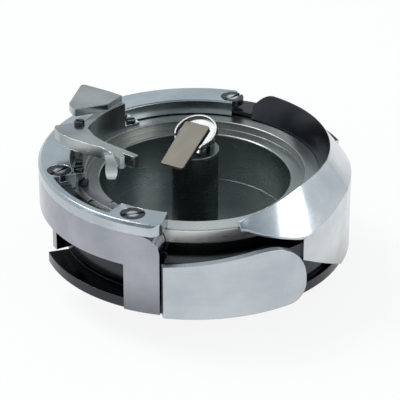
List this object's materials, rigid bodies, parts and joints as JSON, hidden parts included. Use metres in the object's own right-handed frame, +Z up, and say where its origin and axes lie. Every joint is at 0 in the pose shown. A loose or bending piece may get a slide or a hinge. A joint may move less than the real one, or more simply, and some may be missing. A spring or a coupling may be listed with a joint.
{
  "type": "rotary hook with bobbin case",
  "caption": "Sewing-machine rotary hook: a round steel hook with a curved blade, screwed ring and needle guard, holding an open bobbin case with post, flip latch and horns.",
  "frame": {"origin": "centre of the shaft bore at the hub's lower face", "axes": "+Z up the hook's axis, -Y towards the needle guard and the hook's point, +X to the right seen from the guard"},
  "size_m": [0.0428, 0.0435, 0.0228],
  "materials": {
    "hook_steel": "polished turned steel, dark in the recesses",
    "gib_steel": "fine ground and polished",
    "guard_steel": "satin polished sheet",
    "case_steel": "dark hardened steel",
    "post_steel": "dark ground steel",
    "horn_steel": "polished steel",
    "spring_steel": "bright spring steel",
    "screw_steel": "blackened steel",
    "latch_steel": "bright stamped steel",
    "tongue_steel": "satin ground sheet"
  },
  "bodies": {
    "hook": {"hook_body": "hook_steel", "hub_set_screws": "screw_steel", "gib_ring": "gib_steel", "gib_dowels": "screw_steel", "gib_screws": "screw_steel", "needle_guard": "guard_steel", "guard_screws": "screw_steel"},
    "bobbin_case": {"case_cup": "case_steel", "centre_post": "post_steel", "post_screw": "screw_steel", "case_horn": "horn_steel", "horn_screws": "screw_steel", "thread_finger": "horn_steel", "finger_screw": "screw_steel", "tension_spring": "spring_steel", "tension_anchor_screw": "screw_steel", "brake_spring": "spring_steel", "brake_screw": "screw_steel", "latch_pin": "screw_steel"},
    "tension_adjuster": {"tension_screw": "screw_steel"},
    "latch": {"latch_lever": "latch_steel", "latch_plate": "tongue_steel", "latch_spring": "spring_steel"}
  },
  "joints": [
    {"name": "case_spin", "type": "hinge", "parent": "hook", "child": "bobbin_case", "pos_m": [0, 0, 0.0149], "axis": [0, 0, 1], "continuous": true},
    {"name": "latch_flip", "type": "hinge", "parent": "bobbin_case", "child": "latch", "pos_m": [0.0009, 0.00156, 0.02075], "axis": [-0.866, 0.5, 0], "range_deg": [0, 100]},
    {"name": "tension_turn", "type": "hinge", "parent": "bobbin_case", "child": "tension_adjuster", "pos_m": [-0.01503, -0.00518, 0.0165], "axis": [0, 0, 1], "range_deg": [-180, 180]}
  ]
}
